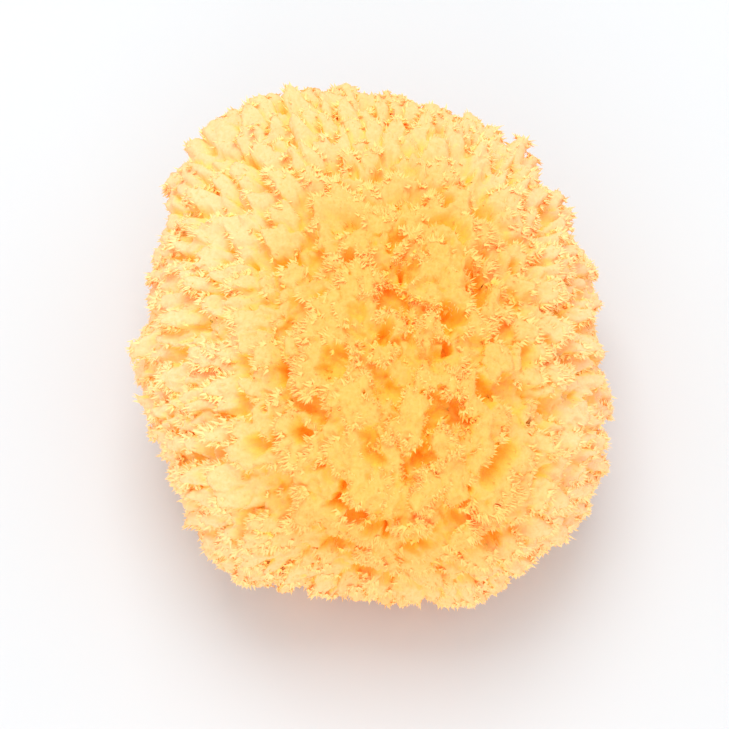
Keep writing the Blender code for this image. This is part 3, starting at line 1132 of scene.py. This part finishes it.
def fan_piece(bed, name, pattern, third, fibres):
    """Fans of teeth along the edges of the tufts on one third of the sponge."""
    random = default_rng(FAN_SEED + third)
    turn = (bed.azimuth / math.tau * 3.0) % 3.0
    weight = bed.edge_weight()
    facing = np.clip(FACING_GAIN * bed.faces_out - FACING_LOSS, *FACING_LIMITS)
    weight *= 1.0 + bed.off_crown * facing
    far_off = smoothstep(FAR_SIDE, bed.growth[:, 1])
    weight *= (1.0 - FANS_LOST_ON_FLANK * bed.flank) * (1.0 - FANS_LOST_FAR_OFF * far_off)
    weight *= LEAST_FAN_PATCH + smoothstep(FAN_PATCHES, smooth_noise(bed.middle, *FAN_NOISE))
    weight *= np.floor(turn) == third
    chosen = bed.pick(random, weight, fibres.fans)
    foot, growth, flank = bed.middle[chosen], bed.growth[chosen], bed.flank[chosen]
    depth, off_crown = bed.depth[chosen], bed.off_crown[chosen]
    drift = three_noises(foot, *FAN_DRIFT)
    drift -= dot(drift, growth)[:, None] * growth
    level = FAN_LEAN["downhill"] * bed.downhill[chosen]
    level += FAN_LEAN["outward"] * off_crown[:, None] * bed.lines[chosen]
    level += FAN_LEAN["drift"] * drift
    level = unit(level + FAN_LEAN["loose"] * random.normal(size=foot.shape))
    rise = random.uniform(*FAN_RISE, len(foot)) * (1.0 - RISE_LOST_ON_FLANK * flank)
    axis = unit(level + rise[:, None] * growth)
    side = unit(np.cross(growth, axis))
    length = random.uniform(*fibres.tooth_length, len(foot))
    length *= LENGTH_ON_TOP - FAN_LENGTH_LOST_DEEP * depth
    length *= between((FAN_LENGTH_ON_CROWN, 1.0), off_crown)
    length *= between((LENGTH_LOW_DOWN, 1.0), smoothstep(FULL_TEETH_ABOVE, foot[:, 2]))
    spread = random.uniform(*fibres.fan_spread, len(foot))
    width = random.uniform(*FAN_WIDTH_SHARE, len(foot)) * fibres.fan_half_width
    curl = random.uniform(*FAN_CURL, len(foot)) * between((CURL_ON_CROWN, 1.0), off_crown)
    per_fan = fibres.teeth_per_fan
    fan = np.repeat(np.arange(len(foot)), per_fan)
    place = np.tile(np.linspace(-1.0, 1.0, per_fan), len(foot))
    count = len(fan)
    jitter = between(ANGLE_JITTER, off_crown[fan]) * random.normal(size=count)
    angle = place * spread[fan] + jitter
    axes = np.cos(angle)[:, None] * axis[fan] + np.sin(angle)[:, None] * side[fan]
    axes = unit(axes + AXIS_JITTER * random.normal(size=(count, 3)))
    sunk = random.uniform(*SUNK_SHARE, count) * length[fan]
    feet = foot[fan] - axis[fan] * sunk[:, None] - growth[fan] * FAN_SUNK
    feet += side[fan] * (place * width[fan])[:, None]
    lengths = length[fan] * (1.0 - OUTER_TOOTH_LOSS * place ** 2)
    lengths *= random.uniform(*LENGTH_SHARE, count)
    radii = fibres.tooth_radius * random.uniform(*RADIUS_SHARE, count)
    radii *= between((RADIUS_ON_CROWN, 1.0), off_crown[fan])
    flat_ways = growth[fan] + FLAT_JITTER * random.normal(size=(count, 3))
    sideways = unit(np.cross(axes, flat_ways))
    bends = growth[fan] * (curl[fan] * lengths)[:, None]
    bends += sideways * (random.uniform(*SIDE_BEND, count) * lengths)[:, None]
    return lay_fibres(
        name, pattern, feet, axes, flat_ways, lengths, radii, bends,
        bed.shade[chosen][fan], bed.pale[chosen][fan])


def single_fibres(bed, name, pattern, seed, weight, count, lengths, radius, lean):
    """Fibres that stand alone, chosen by weight, each bent a little."""
    random = default_rng(seed)
    chosen = bed.pick(random, weight, count)
    growth, flank, depth = bed.growth[chosen], bed.flank[chosen], bed.depth[chosen]
    jitter = random.normal(size=(count, 3))
    apart = FIBRE_SCATTER * np.sqrt(bed.area[chosen])[:, None]
    foot = bed.middle[chosen] + apart * random.normal(size=(count, 3))
    axes = lean["growth"] * growth + lean["normal"] * bed.normal[chosen]
    axes += lean["outward"] * flank[:, None] * bed.lines[chosen] + lean["loose"] * jitter
    axes = unit(axes + lean["drift"] * three_noises(foot, lean["drift_width"], seed + 7))
    length = random.uniform(*lengths, count) * (LENGTH_ON_TOP - LENGTH_LOST_DEEP * depth)
    length *= np.where(foot[:, 2] < SHORT_FIBRES_BELOW, LENGTH_LOW_DOWN, 1.0)
    radii = radius * random.uniform(*FIBRE_RADII, count)
    flat_ways = random.normal(size=(count, 3))
    bends = unit(np.cross(axes, flat_ways))
    bends = bends * (random.uniform(*FIBRE_BEND, count) * length)[:, None]
    feet = foot - axes * FIBRE_SUNK
    return lay_fibres(
        name, pattern, feet, axes, flat_ways, length + FIBRE_SUNK, radii, bends,
        bed.shade[chosen], bed.pale[chosen])


def body_object():
    """The finished body, which the fibres stand on."""
    body = bpy.data.objects.get("sponge_body")
    if body is None:
        raise RuntimeError("make the body before its fibres")
    return body


def make_teeth(settings):
    """Fans of teeth on each third of the sponge, and loose teeth among them."""
    fibres = settings.fibres
    bed = Bed(body_object())
    paint = fibre_paint("Sponge teeth", settings.tooth_colours, False)
    for third in range(3):
        settle(fan_piece(bed, f"teeth_{third + 1}", spike_pattern(), third, fibres), paint)
    loose = single_fibres(
        bed, "loose_teeth", tooth_pattern(), LOOSE_SEED, bed.edge_weight(),
        fibres.loose_teeth, fibres.loose_length, fibres.loose_radius, TOOTH_LEAN)
    settle(loose, paint)


def make_hairs(settings):
    """Short hairs all over the sponge, most of them on the tops of the tufts."""
    fibres = settings.fibres
    bed = Bed(body_object())
    nearness = 1.0 - bed.depth * DEPTH_SCALE / HAIRS_ABOVE
    weight = np.clip(nearness, LEAST_HAIR_WEIGHT, 1.0) ** 2
    hairs = single_fibres(
        bed, "hairs", spike_pattern(), HAIR_SEED, weight, fibres.hairs,
        fibres.hair_length, fibres.hair_radius, HAIR_LEAN)
    settle(hairs, fibre_paint("Sponge hairs", settings.tooth_colours, False))


def make_stage(settings):
    """A pale floor under soft light, seen at the photograph's angle."""
    scene = bpy.context.scene
    stage = settings.stage
    deselect_all()
    bpy.ops.mesh.primitive_plane_add(size=FLOOR_SIZE)
    floor = bpy.context.object
    floor.name = "floor"
    paint = Paint("Floor")
    here = paint.node("ShaderNodeTexCoord", {}).outputs["Object"]
    shade = FLOOR_PATCHES * (paint.noise(here, FLOOR_SCALE) - 0.5)
    darker = tuple(FLOOR_DARKENING * part for part in stage.floor)
    colour = paint.mix(0.5 + shade, (*stage.floor, 1.0), (*darker, 1.0))
    paint.fill(paint.shader, {"Base Color": colour, "Roughness": FLOOR_ROUGHNESS})
    floor.data.materials.append(paint.material)
    world = bpy.data.worlds.new("Soft sky")
    scene.world = world
    world.use_nodes = True
    sky = world.node_tree.nodes["Background"]
    sky.inputs["Color"].default_value = (1.0, 1.0, 1.0, 1.0)
    sky.inputs["Strength"].default_value = stage.sky
    add_lamp(scene, "Soft lamp", SOFT_LAMP, stage.lamp)
    add_lamp(scene, "Low fill lamp", FILL_LAMP, stage.fill)
    target = Vector(CAMERA_TARGET)
    lens = bpy.data.cameras.new("Camera")
    lens.lens = stage.lens
    lens.clip_start = NEAREST_SEEN
    camera = bpy.data.objects.new("Camera", lens)
    away = Vector((0.0, -math.cos(stage.elevation), math.sin(stage.elevation)))
    camera.location = target + away * stage.distance
    camera.rotation_euler = aim(camera.location, target)
    scene.collection.objects.link(camera)
    scene.camera = camera
    scene.view_settings.view_transform = "Standard"
    scene.cycles.diffuse_bounces = BOUNCES


def add_lamp(scene, name, place_and_size, power):
    """A square soft lamp that points at the sponge."""
    *place, size = place_and_size
    lamp = bpy.data.lights.new(name, "AREA")
    lamp.energy = power
    lamp.size = size
    holder = bpy.data.objects.new(name, lamp)
    holder.location = place
    holder.rotation_euler = aim(place, Vector(LAMP_TARGET))
    scene.collection.objects.link(holder)


def aim(place, target):
    """The turn that points a lamp or camera at its target."""
    return (target - Vector(place)).to_track_quat("-Z", "Y").to_euler()


class SPONGE_OT_body(Operator):
    """Make the sponge's body"""

    bl_idname = "sea_sponge.body"
    bl_label = "Body"

    def execute(self, context):
        make_body(context.scene.sea_sponge)
        return {"FINISHED"}


class SPONGE_OT_teeth(Operator):
    """Stand teeth of fibre along the edges of the tufts"""

    bl_idname = "sea_sponge.teeth"
    bl_label = "Teeth"

    def execute(self, context):
        make_teeth(context.scene.sea_sponge)
        return {"FINISHED"}


class SPONGE_OT_hairs(Operator):
    """Cover the tops of the tufts with short hairs"""

    bl_idname = "sea_sponge.hairs"
    bl_label = "Hairs"

    def execute(self, context):
        make_hairs(context.scene.sea_sponge)
        return {"FINISHED"}


class SPONGE_OT_stage(Operator):
    """Set up the floor, the light and the camera"""

    bl_idname = "sea_sponge.stage"
    bl_label = "Stage"

    def execute(self, context):
        make_stage(context.scene.sea_sponge)
        return {"FINISHED"}


class SPONGE_PT_panel(Panel):
    """Sizes, colours and steps of the sea sponge"""

    bl_idname = "SPONGE_PT_panel"
    bl_label = "Sea sponge"
    bl_space_type = "VIEW_3D"
    bl_region_type = "UI"
    bl_category = "Sea sponge"

    def draw(self, context):
        settings = context.scene.sea_sponge
        for part in settings.__annotations__:
            group = getattr(settings, part)
            box = self.layout.box()
            for name in group.__annotations__:
                box.prop(group, name)
        for step in STEPS:
            self.layout.operator(step.bl_idname)


STEPS = (SPONGE_OT_body, SPONGE_OT_teeth, SPONGE_OT_hairs, SPONGE_OT_stage)
CLASSES = (
    SpongeShape, SpongeFibres, BodyColours, ToothColours, SpongeStage, SeaSponge,
    *STEPS, SPONGE_PT_panel)


def register():
    """Make the settings, steps and panel known."""
    for kind in CLASSES:
        bpy.utils.register_class(kind)
    bpy.types.Scene.sea_sponge = PointerProperty(type=SeaSponge)


def unregister():
    """Take them away again."""
    del bpy.types.Scene.sea_sponge
    for kind in reversed(CLASSES):
        bpy.utils.unregister_class(kind)


def main():
    """Make the sponge and its stage."""
    register()
    bpy.ops.sea_sponge.body()
    bpy.ops.sea_sponge.teeth()
    bpy.ops.sea_sponge.hairs()
    bpy.ops.sea_sponge.stage()


if __name__ == "__main__":
    main()
